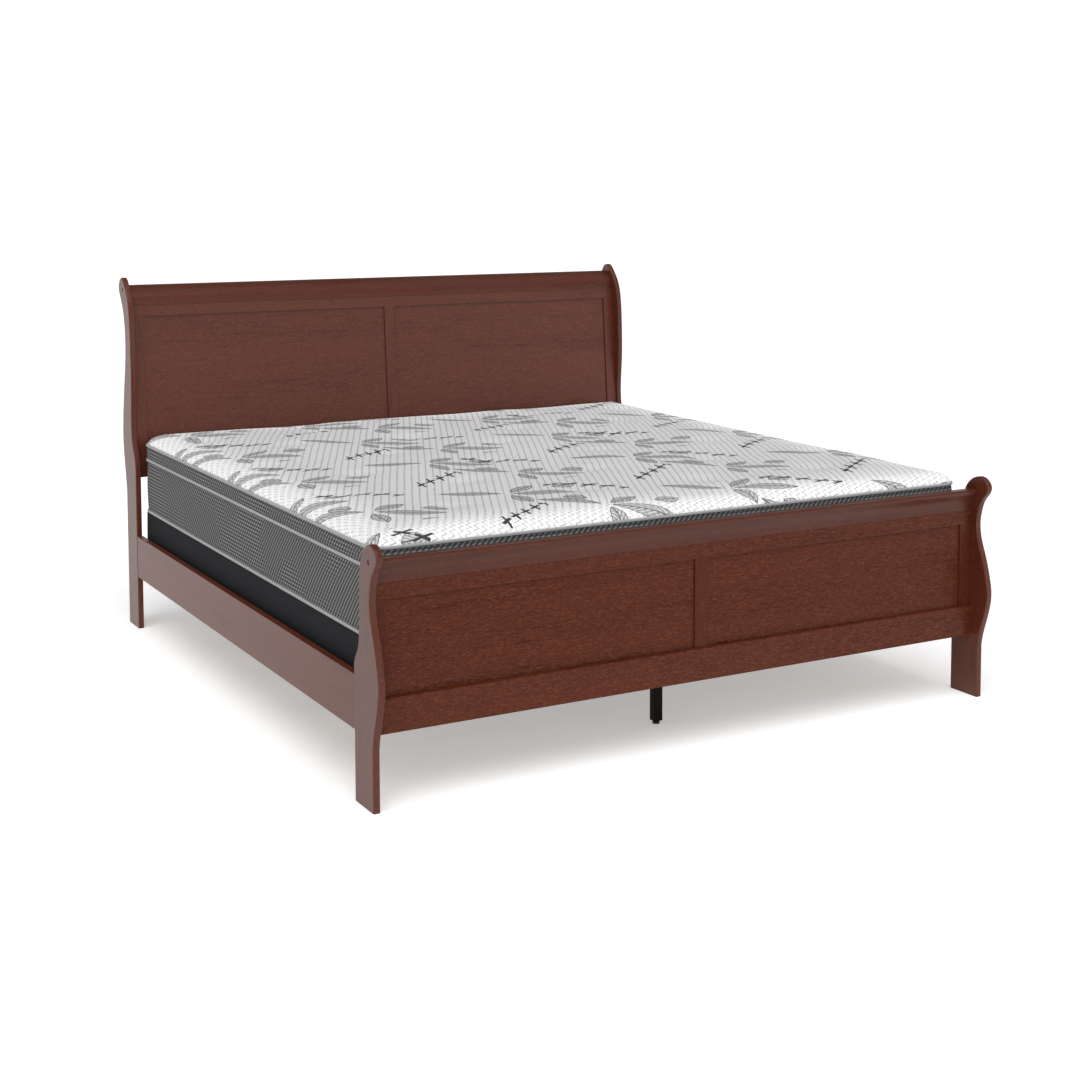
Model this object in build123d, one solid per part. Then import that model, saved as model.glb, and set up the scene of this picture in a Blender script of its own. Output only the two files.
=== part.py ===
from build123d import *
import math
import os

os.makedirs("parts", exist_ok=True)

# Sleigh bed, king size. Millimetres. The origin is on the floor under the middle of the bed,
# +X to the right hand seen from the foot, +Y towards the headboard, +Z up.

# ---- driving dimensions ----
WIDTH = 2007.0              # over the outer faces of the posts
POST_T = 19.0               # post board thickness
POST_ROUND = 3.5            # rounding of the post edges
HALF = WIDTH / 2
INNER = HALF - POST_T       # inner face of a post

FB_BACK_EDGE_Y = -991.0     # straight inner edge of a footboard leg
HB_FRONT_EDGE_Y = 977.5     # straight front edge of a headboard leg
HB_REAR_EDGE_Y = 1095.5     # straight rear edge of a headboard leg

FRAME_T = 18.0              # thickness of stiles and rails
FB_FRONT_Y = -1069.0        # front of the footboard stiles and top rail
FB_LEDGE_Y = -1080.0        # front of the thicker footboard bottom rail
FB_BOTTOM_Z = (189.0, 279.0)
FB_TOP_Z = (530.5, 573.0)
LEDGE_ROUND = 3.0           # rounding of the front top edge of the footboard bottom rail
STILE_W = 41.0
PANEL_T = 6.0
PANEL_RECESS = 6.0
GROOVE = 8.0                # depth of the panel grooves
TONGUE = 7.0                # how far panels and stub tenons enter them
FIT = 0.1                   # slack on each side of a panel in its groove

HB_Z = (530.0, 1132.0)      # headboard frame, measured upright
HB_FRONT_AT = (1029.0, 694.0)   # a point of its front plane: y, z
HB_SLOPE = 0.0827           # how far it leans back per unit of height
HB_BOTTOM_H = 70.0
HB_TOP_H = 37.0

PLUG_D = 13.0
PLUG_DEPTH = 10.0
PLUG_L = 8.0
FB_EYE = (-1092.0, 634.0)
HB_EYE = (1096.4, 1187.5)
DOWEL_D = 8.0
DOWEL_L = 28.0
DOWEL_IN_POST = 12.0

RAIL_OUT = 1002.5           # outer face of a side rail
RAIL_T = 21.0
RAIL_Z = (184.0, 329.0)
LEDGER_W = 30.0
LEDGER_H = 20.0
LEDGER_TOP = 205.0
LEDGER_L = 1900.0

PLATE_W = 15.0              # hook plates and slotted plates
PLATE_H = 130.0
PLATE_T = 2.5
PLATE_Z = 256.0             # middle height of the plates
HOOK_T = 2.5
HOOK_STEP = 60.0            # distance between the two hooks of a plate
HOOK_ROOM = 1.5             # slack around a hook inside the post
PLATE_SCREW_L = 24.0
PLATE_SCREW_IN = 5.5        # screws of a plate from its two ends
SCREW_D = 4.0
SCREW_HEAD_H = 2.2
LEDGER_SCREWS = 6           # screws in each ledger
LEDGER_SCREW_STEP = 290.0
LEDGER_SCREW_L = 42.0

SLAT_Y = (-837.0, -418.5, 0.0, 418.5, 837.0)
SLAT_W = 90.0
SLAT_T = 18.0
SLAT_L = 1960.0
SLAT_SCREW_L = 34.0

LEG_W = 28.0
LEG_WALL = 1.5
LEG_PLATE = 60.0
LEG_PLATE_T = 3.0
LEG_ROUND = 2.5
LEG_SCREW_IN = 8.0          # screws of a top plate from its edges
LEG_SCREW_L = 16.0
LEG_BOTTOM = 10.0
FOOT_D = 22.0
FOOT_T = 5.0
STEM_D = 8.0
STEM_TOP = 45.0
INSERT_H = 20.0

BED_HALF = 965.0            # half width of foundation and mattress
BED_Y = (-1031.0, 1001.0)   # foot end and head end of both
BED_R = 52.0                # rounding of the mattress's upright corners
FOUND_R = 25.0              # and of the foundation's
FOUND_Z = (223.3, 413.0)
FOUND_COVER = 3.0
BOARD_T = 3.0
DUST_COVER_T = 1.0
FOUND_RAIL_W = 25.0         # width of the foundation's inner frame
FOUND_SLATS = 13
FOUND_SLAT_W = 64.0
FOUND_SLAT_T = 18.0
FOUND_SLAT_END = 80.0       # outer slats from the ends of the foundation
MAT_Z = (413.5, 651.0)      # mattress from the underside to the top tape
TAPE_LOW_Z = (415.0, 424.0)
TAPE_MID_Z = (595.5, 604.5)
TAPE_TOP_Z = (646.5, 655.0)
TAPE_OUT = 6.0              # how far a tape stands proud
TAPE_ROUND = 3.5
COVER_T = 12.0
BOTTOM_T = 6.0
EDGE_T = 25.0               # foam edge support
CROWN = 46.0                # rise of the pillow top above the top tape
PILLOW_T = 24.0             # quilt thickness under the crown
PILLOW_CORE_IN = 30.0       # filling under the quilt from the outer side
EDGE_BELOW = 30.0           # foam edge support below the top tape
WIRE_R = 2.0
WIRE_IN = 8.0               # border wires from the upper and lower end of the edge support

# Outline of a footboard post as y, z: up the mattress side from the straight leg, over the
# crown and down the outer side to the straight leg.
FB_OUTLINE = [
    (FB_BACK_EDGE_Y, 340.0),
    (-994.5, 368.0),
    (-1014.5, 400.0),
    (-1024.5, 450.0),
    (-1027.0, 510.0),
    (-1028.0, 570.0),
    (-1034.5, 616.0),
    (-1048.5, 649.5),
    (-1071.0, 670.0),
    (-1101.0, 680.0),
    (-1131.0, 669.0),
    (-1142.0, 650.0),
    (-1136.0, 632.0),
    (-1117.0, 609.5),
    (-1102.5, 577.0),
    (-1096.0, 545.0),
    (-1101.0, 492.0),
    (-1119.5, 441.5),
    (-1143.0, 362.0),
    (-1148.0, 331.0),
    (-1141.6, 279.0),
    (-1122.7, 218.0),
    (-1109.0, 160.0),
]
# Outline of a headboard post: up the mattress side, over the crown and down the rear side.
HB_OUTLINE = [
    (HB_FRONT_EDGE_Y, 548.0),
    (981.5, 590.0),
    (1009.4, 650.0),
    (1020.0, 725.0),
    (1012.0, 850.0),
    (1012.5, 983.0),
    (1020.6, 1087.0),
    (1038.0, 1153.0),
    (1075.0, 1205.0),
    (1110.0, 1230.0),
    (1138.0, 1217.0),
    (1148.0, 1191.0),
    (1136.0, 1168.0),
    (1095.0, 1103.0),
    (1081.0, 1040.0),
    (1079.5, 975.0),
    (1098.0, 871.0),
    (1122.0, 754.0),
    (1130.0, 655.0),
    (1112.0, 550.0),
    (HB_REAR_EDGE_Y, 478.0),
]

LEAN = math.degrees(math.atan(HB_SLOPE))
COS_LEAN = math.cos(math.radians(LEAN))
HB_LEN = (HB_Z[1] - HB_Z[0]) / COS_LEAN
HB_Y0 = HB_FRONT_AT[0] + HB_SLOPE * (HB_Z[0] - HB_FRONT_AT[1])


def block(x, y, z):
    """Box between two limits on each axis."""
    box = Box(x[1] - x[0], y[1] - y[0], z[1] - z[0])
    return Pos((x[0] + x[1]) / 2, (y[0] + y[1]) / 2, (z[0] + z[1]) / 2) * box


def rod(start, direction, radius, length):
    """Round bar from a point along a direction."""
    plane = Plane(origin=start, z_dir=direction)
    return Solid.make_cylinder(radius, length, plane)


def extrude_x(face_edges, x0, x1):
    """Board between x0 and x1 with the outline given by edges in the plane x = 0."""
    face = Face(Wire(face_edges))
    solid = extrude(face, x1 - x0, dir=(1, 0, 0))
    return Pos(x0, 0, 0) * solid


def curve(points):
    """Smooth curve through y, z points, as edges of about two points each."""
    whole = Edge.make_spline([Vector(0, y, z) for y, z in points])
    count = max(4, len(points) // 2)
    return [whole.trim(i / count, (i + 1) / count) for i in range(count)]


def line(a, b):
    return Edge.make_line(Vector(0, *a), Vector(0, *b))


def mirror_x(shape):
    return mirror(shape, about=Plane.YZ)


def save(shape, name):
    """One STEP file per named piece or group of like pieces."""
    if isinstance(shape, (list, tuple)):
        shape = Compound(children=list(shape))
    shape.label = name
    export_step(shape, f"parts/{name}.step")


def save_pair(shape, name):
    """A right-hand piece and its mirror image on the left."""
    save(shape, f"{name}_right")
    save(mirror_x(shape), f"{name}_left")


def screw(start, direction, length):
    """Countersunk wood screw; the start is the middle of its flat head."""
    d = Vector(*direction)
    head = Solid.make_cone(SCREW_D - 0.2, SCREW_D / 2, SCREW_HEAD_H, Plane(origin=start, z_dir=d))
    shank = rod(start, d, SCREW_D / 2, length)
    return head + shank


def lean(shape):
    """Stand a headboard piece, built upright from its lower front edge, in its leaning place."""
    return Pos(0, HB_Y0, HB_Z[0]) * (Rot(-LEAN, 0, 0) * shape)


# ---- posts ----
def outline_edge(edge):
    """True for the edges of a post's two faces, except the one that stands on the floor."""
    box = edge.bounding_box()
    return box.size.X < 1 and box.max.Z > 1


def post_board(outline):
    """Post board: a curved outline closed by two straight leg edges and a flat foot."""
    start, end = outline[0], outline[-1]
    foot_start, foot_end = (start[0], 0.0), (end[0], 0.0)
    edges = [line(foot_start, start), *curve(outline), line(end, foot_end), line(foot_end, foot_start)]
    board = extrude_x(edges, INNER, HALF)
    return fillet([e for e in board.edges() if outline_edge(e)], POST_ROUND)


fb_post = post_board(FB_OUTLINE)
hb_post = post_board(HB_OUTLINE)


def plug_at(eye):
    hole = rod((HALF - PLUG_DEPTH, *eye), (1, 0, 0), PLUG_D / 2, PLUG_DEPTH + 1)
    plug = rod((HALF - PLUG_DEPTH, *eye), (1, 0, 0), PLUG_D / 2, PLUG_L)
    return hole, plug


# ---- crest rails ----
fb_seat = [(-1071.0, FB_TOP_Z[1]), (FB_FRONT_Y + FRAME_T, FB_TOP_Z[1])]
fb_nose = [
    (-1083.0, 638.5),
    (-1091.0, 638.0),
    (-1096.0, 633.0),
    (-1094.5, 627.5),
    (-1089.0, 620.5),
    (-1082.0, 611.0),
    (-1076.0, 601.0),
    (-1072.2, 590.0),
    fb_seat[0],
]
fb_back = [fb_seat[1], (-1048.0, 598.0), (-1050.0, 622.0), (-1058.0, 638.0)]
fb_crest = extrude_x(
    [*curve(fb_nose), line(*fb_seat), *curve(fb_back), line(fb_back[-1], fb_nose[0])],
    -INNER,
    INNER,
)
hb_top_y = HB_FRONT_AT[0] + HB_SLOPE * (HB_Z[1] - HB_FRONT_AT[1])
hb_seat = [
    (hb_top_y + FRAME_T * COS_LEAN, HB_Z[1] - FRAME_T * math.sin(math.radians(LEAN))),
    (hb_top_y, HB_Z[1]),
]
hb_face = [hb_seat[1], (1067.5, 1150.0), (1079.0, 1173.0), (1103.0, 1193.0), (1130.0, 1202.5)]
hb_roll = [hb_face[-1], (1138.0, 1199.0), (1138.0, 1190.0), (1126.0, 1171.0), (1100.0, 1142.0), hb_seat[0]]
hb_crest = extrude_x([*curve(hb_face), *curve(hb_roll), line(*hb_seat)], -INNER, INNER)


# ---- framed panels: built flat from x = 0, front at y = 0, bottom at z = 0 ----
def framed(height, bottom_h, top_h, bottom_front):
    """Rails, stiles and floating panels of one end board, upright, front face at y = 0."""
    py = (PANEL_RECESS, PANEL_RECESS + PANEL_T)
    gy = (py[0] - FIT, py[1] + FIT)
    z0, z1 = bottom_h, height - top_h
    groove_low = block((-INNER - 1, INNER + 1), gy, (z0 - GROOVE, z0 + 1))
    groove_top = block((-INNER - 1, INNER + 1), gy, (z1 - 1, z1 + GROOVE))
    low = block((-INNER, INNER), (bottom_front, FRAME_T), (0, z0)) - groove_low
    top = block((-INNER, INNER), (0, FRAME_T), (z1, height)) - groove_top

    def stile(xa, xb, grooves):
        piece = block((xa, xb), (0, FRAME_T), (z0, z1))
        piece += block((xa, xb), py, (z0 - TONGUE, z1 + TONGUE))
        for ga, gb in grooves:
            piece -= block((ga, gb), gy, (z0 - GROOVE, z1 + GROOVE))
        return piece

    half = STILE_W / 2
    mid = stile(-half, half, [(-half - 1, -half + GROOVE), (half - GROOVE, half + 1)])
    side = INNER - STILE_W
    end = stile(side, INNER, [(side - 1, side + GROOVE)])
    panel = block((half - TONGUE, side + TONGUE), py, (z0 - TONGUE, z1 + TONGUE))
    return low, top, mid, end, panel


fb_h = FB_TOP_Z[1] - FB_BOTTOM_Z[0]
fb_parts = framed(
    fb_h,
    FB_BOTTOM_Z[1] - FB_BOTTOM_Z[0],
    FB_TOP_Z[1] - FB_TOP_Z[0],
    FB_LEDGE_Y - FB_FRONT_Y,
)
fb_low, fb_top_rail, fb_mid, fb_end, fb_panel = [Pos(0, FB_FRONT_Y, FB_BOTTOM_Z[0]) * p for p in fb_parts]
fb_low_top_edges = fb_low.edges().filter_by(Axis.X).group_by(Axis.Z)[-1]
fb_low = fillet(fb_low_top_edges.sort_by(Axis.Y)[0], LEDGE_ROUND)
hb_low, hb_top_rail, hb_mid, hb_end, hb_panel = [
    lean(p) for p in framed(HB_LEN, HB_BOTTOM_H, HB_TOP_H, 0)
]


# ---- dowels that join crest, top and bottom rails to the posts ----
def dowel(y, z):
    return rod((INNER - (DOWEL_L - DOWEL_IN_POST), y, z), (1, 0, 0), DOWEL_D / 2, DOWEL_L)


fb_mid_y = FB_FRONT_Y + FRAME_T / 2
fb_dowels = [dowel(fb_mid_y, z) for z in (215.0, 255.0, 555.0)]
fb_dowels += [dowel(-1062.0, 590.0), dowel(-1068.0, 619.0)]


def on_lean(depth, height):
    """Point y, z of the leaning headboard frame at a depth behind its front."""
    a = math.radians(LEAN)
    y = HB_Y0 + depth * math.cos(a) + height * math.sin(a)
    z = HB_Z[0] + height * math.cos(a) - depth * math.sin(a)
    return (y, z)


hb_dowels = [dowel(*on_lean(FRAME_T / 2, h)) for h in (20.0, 50.0, HB_LEN - 15.0)]
hb_dowels += [dowel(1086.0, 1153.0), dowel(1112.0, 1180.0)]


def drilled(shape, tools):
    for tool in tools:
        shape = shape - tool
        shape = shape - mirror_x(tool)
    return shape


# ---- side rails, ledgers, plates ----
rail_in = RAIL_OUT - RAIL_T
plate_x = (RAIL_OUT + rail_in) / 2 - 0.5
rail = block((rail_in, RAIL_OUT), (FB_BACK_EDGE_Y, HB_FRONT_EDGE_Y), RAIL_Z)
rail = fillet(rail.edges().filter_by(Axis.Y), 2.0)
ledger_z = (LEDGER_TOP - LEDGER_H, LEDGER_TOP)
ledger = block((rail_in - LEDGER_W, rail_in), (-LEDGER_L / 2, LEDGER_L / 2), ledger_z)

ledger_screws = []
for i in range(LEDGER_SCREWS):
    y = LEDGER_SCREW_STEP * (i - (LEDGER_SCREWS - 1) / 2)
    at = (rail_in - LEDGER_W, y, LEDGER_TOP - LEDGER_H / 2)
    ledger_screws.append(screw(at, (1, 0, 0), LEDGER_SCREW_L))
rail = rail - Compound(ledger_screws)
ledger = ledger - Compound(ledger_screws)

px = (plate_x - PLATE_W / 2, plate_x + PLATE_W / 2)
pz = (PLATE_Z - PLATE_H / 2, PLATE_Z + PLATE_H / 2)
hook_plates = []
slot_plates = []
plate_screws = []
post_pockets = {}
for end_y, into_post in ((FB_BACK_EDGE_Y, -1.0), (HB_FRONT_EDGE_Y, 1.0)):
    back = end_y - into_post * PLATE_T
    front = end_y + into_post * PLATE_T
    hook_plate = block(px, sorted((back, end_y)), pz)
    slot_plate = block(px, sorted((end_y, front)), pz)
    pocket = [block(px, sorted((end_y, front)), pz)]
    for side in (-1, 1):
        hz = PLATE_Z + side * HOOK_STEP / 2
        hx = (plate_x - HOOK_T / 2, plate_x + HOOK_T / 2)
        tip = end_y + into_post * 12.0
        neck = block(hx, sorted((end_y, tip)), (hz - 4.0, hz + 12.0))
        beak = block(hx, sorted((front + into_post * 0.3, tip)), (hz - 13.0, hz - 3.0))
        hook_plate += neck
        hook_plate += beak
        sx = (hx[0] - 0.4, hx[1] + 0.4)
        slot_plate -= block(sx, sorted((end_y - into_post, front + into_post)), (hz - 4.0, hz + 22.0))
        room_y = sorted((front, tip + into_post * HOOK_ROOM))
        pocket.append(block((hx[0] - HOOK_ROOM, hx[1] + HOOK_ROOM), room_y, (hz - 15, hz + 23)))
    for side in (-1, 1):
        z = PLATE_Z + side * (PLATE_H / 2 - PLATE_SCREW_IN)
        rail_screw = screw((plate_x, end_y, z), (0, -into_post, 0), PLATE_SCREW_L)
        post_screw = screw((plate_x, end_y, z), (0, into_post, 0), PLATE_SCREW_L)
        plate_screws += [rail_screw, post_screw]
    rail = rail - block(px, sorted((back, end_y)), pz)
    post_pockets[into_post] = pocket
    hook_plates.append(hook_plate)
    slot_plates.append(slot_plate)

all_plate_screws = Compound(plate_screws)
rail = rail - all_plate_screws
hook_plates = [p - all_plate_screws for p in hook_plates]
slot_plates = [p - all_plate_screws for p in slot_plates]

fb_hole, fb_plug = plug_at(FB_EYE)
hb_hole, hb_plug = plug_at(HB_EYE)
for tool in [fb_hole, all_plate_screws] + fb_dowels + post_pockets[-1.0]:
    fb_post = fb_post - tool
for tool in [hb_hole, all_plate_screws] + hb_dowels + post_pockets[1.0]:
    hb_post = hb_post - tool

fb_crest = drilled(fb_crest, fb_dowels)
fb_top_rail = drilled(fb_top_rail, fb_dowels)
fb_low = drilled(fb_low, fb_dowels)
hb_crest = drilled(hb_crest, hb_dowels)
hb_top_rail = drilled(hb_top_rail, hb_dowels)
hb_low = drilled(hb_low, hb_dowels)

# ---- slats and centre legs ----
slat_z = (LEDGER_TOP, LEDGER_TOP + SLAT_T)
slats = []
slat_screws = []
legs = []
leg_inserts = []
leg_screws = []
feet = []
for y in SLAT_Y:
    slat = block((-SLAT_L / 2, SLAT_L / 2), (y - SLAT_W / 2, y + SLAT_W / 2), slat_z)
    for sx in (-1, 1):
        slat_screws.append(screw((sx * (rail_in - LEDGER_W / 2 - 2), y, slat_z[1]), (0, 0, -1), SLAT_SCREW_L))
    half = LEG_W / 2
    tube = block((-half, half), (y - half, y + half), (LEG_BOTTOM, LEDGER_TOP - LEG_PLATE_T))
    tube = fillet(tube.edges().filter_by(Axis.Z), LEG_ROUND)
    bore_half = half - LEG_WALL
    tube -= block((-bore_half, bore_half), (y - bore_half, y + bore_half), (0, LEDGER_TOP - LEG_PLATE_T))
    p = LEG_PLATE / 2
    leg = tube + block((-p, p), (y - p, y + p), (LEDGER_TOP - LEG_PLATE_T, LEDGER_TOP))
    for sx in (-1, 1):
        for sy in (-1, 1):
            at = (sx * (p - LEG_SCREW_IN), y + sy * (p - LEG_SCREW_IN), LEDGER_TOP - LEG_PLATE_T)
            leg_screws.append(screw(at, (0, 0, 1), LEG_SCREW_L))
    legs.append(leg)
    insert_z = (LEG_BOTTOM, LEG_BOTTOM + INSERT_H)
    insert = block((-bore_half, bore_half), (y - bore_half, y + bore_half), insert_z)
    insert -= rod((0, y, LEG_BOTTOM - 1), (0, 0, 1), STEM_D / 2 + 0.05, INSERT_H + 2)
    leg_inserts.append(insert)
    pad = rod((0, y, 0), (0, 0, 1), FOOT_D / 2, FOOT_T)
    pad = fillet(pad.edges().filter_by(GeomType.CIRCLE), 1.0)
    feet.append(pad + rod((0, y, FOOT_T - 1), (0, 0, 1), STEM_D / 2, STEM_TOP - FOOT_T + 1))
    slats.append(slat)

screws_up = Compound(leg_screws)
screws_down = Compound(slat_screws)
slats = [s - screws_up - screws_down for s in slats]
legs = [leg - screws_up for leg in legs]
for s in slat_screws:
    ledger = ledger - s

# ---- foundation ----
def soft_block(half_x, y, z, radius, grow=0.0):
    """Rectangular block with rounded upright corners, made larger all round by grow."""
    box = block((-half_x - grow, half_x + grow), (y[0] - grow, y[1] + grow), z)
    return fillet(box.edges().filter_by(Axis.Z), max(radius + grow, 8.0))


c = FOUND_COVER
found_outer = soft_block(BED_HALF, BED_Y, (FOUND_Z[0] + DUST_COVER_T, FOUND_Z[1]), FOUND_R)
found_inner = soft_block(BED_HALF, BED_Y, (FOUND_Z[0], FOUND_Z[1] - c), FOUND_R, -c)
found_cover = found_outer - found_inner
dust_cover = soft_block(BED_HALF, BED_Y, (FOUND_Z[0], FOUND_Z[0] + DUST_COVER_T), FOUND_R)
fz0 = FOUND_Z[0] + DUST_COVER_T
fz1 = FOUND_Z[1] - c
found_board = soft_block(BED_HALF, BED_Y, (fz1 - BOARD_T, fz1), FOUND_R, -c)
ring = soft_block(BED_HALF, BED_Y, (fz0, fz1 - BOARD_T - FOUND_SLAT_T), FOUND_R, -c)
ring -= soft_block(BED_HALF, BED_Y, (fz0 - 1, fz1), FOUND_R, -c - FOUND_RAIL_W)
found_slats = []
found_pitch = (BED_Y[1] - BED_Y[0] - 2 * FOUND_SLAT_END) / (FOUND_SLATS - 1)
for i in range(FOUND_SLATS):
    y = BED_Y[0] + FOUND_SLAT_END + i * found_pitch
    sy = (y - FOUND_SLAT_W / 2, y + FOUND_SLAT_W / 2)
    sz = (fz1 - BOARD_T - FOUND_SLAT_T, fz1 - BOARD_T)
    found_slats.append(block((-BED_HALF + 2 * c, BED_HALF - 2 * c), sy, sz))

# ---- mattress ----
t = COVER_T
border_outer = soft_block(BED_HALF, BED_Y, (MAT_Z[0] + BOTTOM_T, MAT_Z[1]), BED_R)
border_inner = soft_block(BED_HALF, BED_Y, (MAT_Z[0], MAT_Z[1] + 1), BED_R, -t)
border = border_outer - border_inner
bottom_panel = soft_block(BED_HALF, BED_Y, (MAT_Z[0], MAT_Z[0] + BOTTOM_T), BED_R)


def tape(z):
    """Band of binding around the mattress, standing proud and rounded over."""
    band = soft_block(BED_HALF, BED_Y, z, BED_R, TAPE_OUT)
    band = fillet(band.edges().group_by(Axis.Z)[-1] + band.edges().group_by(Axis.Z)[0], TAPE_ROUND)
    return band - soft_block(BED_HALF, BED_Y, (z[0] - 1, z[1] + 1), BED_R)


tape_low = tape(TAPE_LOW_Z)
tape_mid = tape(TAPE_MID_Z)
tape_top = tape(TAPE_TOP_Z)


def pillow(z0, rise, inset):
    """Slab whose top rim is rolled over."""
    slab = soft_block(BED_HALF, BED_Y, (z0, z0 + rise), BED_R, -inset)
    rim = slab.edges().group_by(Axis.Z)[-1]
    return fillet(rim, rise * 0.8)


top_outer = pillow(MAT_Z[1], CROWN, 0.0)
top_core = pillow(MAT_Z[1] - 1.0, CROWN - PILLOW_T, PILLOW_CORE_IN)
pillow_top = top_outer - top_core
ez = (MAT_Z[0] + BOTTOM_T, MAT_Z[1] - EDGE_BELOW)
edge_support = soft_block(BED_HALF, BED_Y, ez, BED_R, -t)
edge_support -= soft_block(BED_HALF, BED_Y, (ez[0] - 1, ez[1] + 1), BED_R, -t - EDGE_T)


def wire_ring(z, inset, radius):
    """Steel border wire of the spring unit."""
    ring_outer = soft_block(BED_HALF, BED_Y, (z - radius, z + radius), BED_R, -inset)
    ring_inner = soft_block(BED_HALF, BED_Y, (z - radius - 1, z + radius + 1), BED_R, -inset - 2 * radius)
    return ring_outer - ring_inner


inset = t + EDGE_T
wires = [wire_ring(z, inset + 0.5, WIRE_R) for z in (ez[0] + WIRE_IN, ez[1] - WIRE_IN)]

# ---- write the pieces ----
save_pair(fb_post, "footboard_post")
save(fb_crest, "footboard_crest_rail")
save(fb_top_rail, "footboard_top_rail")
save(fb_low, "footboard_bottom_rail")
save(fb_mid, "footboard_middle_stile")
save_pair(fb_end, "footboard_end_stile")
save_pair(fb_panel, "footboard_panel")
save_pair(hb_post, "headboard_post")
save(hb_crest, "headboard_crest_rail")
save(hb_top_rail, "headboard_top_rail")
save(hb_low, "headboard_bottom_rail")
save(hb_mid, "headboard_middle_stile")
save_pair(hb_end, "headboard_end_stile")
save_pair(hb_panel, "headboard_panel")
plugs = [fb_plug, hb_plug]
save(plugs + [mirror_x(p) for p in plugs], "scroll_eye_plugs")
dowels = fb_dowels + hb_dowels
save(dowels + [mirror_x(d) for d in dowels], "frame_dowels")
save_pair(rail, "side_rail")
save_pair(ledger, "slat_ledger")
save(hook_plates + [mirror_x(p) for p in hook_plates], "rail_hook_plates")
save(slot_plates + [mirror_x(p) for p in slot_plates], "post_slot_plates")
save(plate_screws + [mirror_x(s) for s in plate_screws], "plate_screws")
save(ledger_screws + [mirror_x(s) for s in ledger_screws], "ledger_screws")
save(slats, "slats")
save(slat_screws, "slat_screws")
save(legs, "center_legs")
save(leg_inserts, "leg_inserts")
save(leg_screws, "leg_screws")
for number, foot in enumerate(feet, 1):
    save(foot, f"leveling_foot_{number}")
save(ring, "foundation_frame")
save(found_slats, "foundation_slats")
save(found_board, "foundation_board")
save(found_cover, "foundation_cover")
save(dust_cover, "foundation_dust_cover")
save(border, "mattress_border")
save(bottom_panel, "mattress_bottom_panel")
save(pillow_top, "mattress_pillow_top")
save(tape_low, "mattress_tape_low")
save(tape_mid, "mattress_tape_middle")
save(tape_top, "mattress_tape_top")
save(edge_support, "mattress_edge_support")
save(wires, "mattress_border_wires")
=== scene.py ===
"""Sleigh bed with its foundation and mattress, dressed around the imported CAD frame. Metres."""

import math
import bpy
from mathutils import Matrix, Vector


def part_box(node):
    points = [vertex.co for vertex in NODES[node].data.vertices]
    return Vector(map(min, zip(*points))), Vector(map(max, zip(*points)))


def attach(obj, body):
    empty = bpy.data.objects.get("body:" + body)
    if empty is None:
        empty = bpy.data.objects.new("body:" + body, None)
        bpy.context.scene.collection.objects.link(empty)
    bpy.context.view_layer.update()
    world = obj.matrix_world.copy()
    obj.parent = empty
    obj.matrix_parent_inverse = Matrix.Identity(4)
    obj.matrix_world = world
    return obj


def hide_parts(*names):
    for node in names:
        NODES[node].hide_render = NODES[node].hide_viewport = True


bl_info = {
    "name": "Sleigh bed",
    "version": (1, 0, 0),
    "blender": (4, 5, 0),
    "location": "View3D > Sidebar > Sleigh bed",
    "description": "Finishes, mattress, foundation and studio of a sleigh bed",
    "category": "Object",
}

import bmesh
import bpy
import numpy as np
from mathutils import Euler

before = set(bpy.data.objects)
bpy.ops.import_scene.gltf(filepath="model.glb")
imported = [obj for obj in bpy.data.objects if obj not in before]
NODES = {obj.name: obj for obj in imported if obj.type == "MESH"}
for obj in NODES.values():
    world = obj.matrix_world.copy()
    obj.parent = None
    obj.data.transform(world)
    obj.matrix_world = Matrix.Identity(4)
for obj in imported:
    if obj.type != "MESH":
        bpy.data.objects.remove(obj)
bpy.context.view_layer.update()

MM = 0.001                  # metres
X, Y, Z = range(3)

# Soft goods.
CORNER_R = 52 * MM          # rounding of the mattress's upright corners
FOUNDATION_R = 25 * MM      # and of the foundation's
OUTLINE_STEP = 20 * MM      # distance between two points of a straight side
COVER_SWELL = 1.2 * MM      # swell of the foundation's side
COVER_ROLL = 4 * MM         # rounding of its upper edge
COVER_HEM = 2 * MM          # height of the turned hem at its foot
FULLNESS = 0.8              # power of the border's swell: below one, it rises steeply from the tapes
TAPE_HALF = 4 * MM          # half the thickness of a binding tape
TAPE_PROUD = 2 * MM         # how far its middle stands outside the border
TAPE_SQUARE = 0.7           # power that squares its rounded section
SEAM_LAP = 2 * MM           # how far the pillow top reaches down over the border
SEAM_LIP = 4 * MM           # upright lip at its rim
SHOULDER = 70 * MM          # width of its rounded shoulder
CALM = 120 * MM             # the hollows fade out this near to the rim
RIM_KNIT = 90 * MM          # width over which the rim's knit gives way to the field's
TIE_X = 0.42                # distance between the hollows of the quilt, across and along the bed
TIE_Y = 0.30
TIE_DEPTH = 8 * MM

# Wooden pieces.
BOARDS = ("footboard", "headboard")
SIDES = ("left", "right")
EASE = 0.9 * MM             # rounding of a sanded edge
SHARP = math.radians(50)    # edges sharper than this are sanded


def at_board(board, *places):
    """Names of the pieces at the given places of the footboard or the headboard."""
    return [f"{board}_{place}" for place in places]


RAILS = ("top_rail", "bottom_rail")
STILES = ("middle_stile", "end_stile_left", "end_stile_right")
PANELS = ("panel_left", "panel_right")
POSTS = [f"{board}_post_{side}" for board in BOARDS for side in SIDES]
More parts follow.
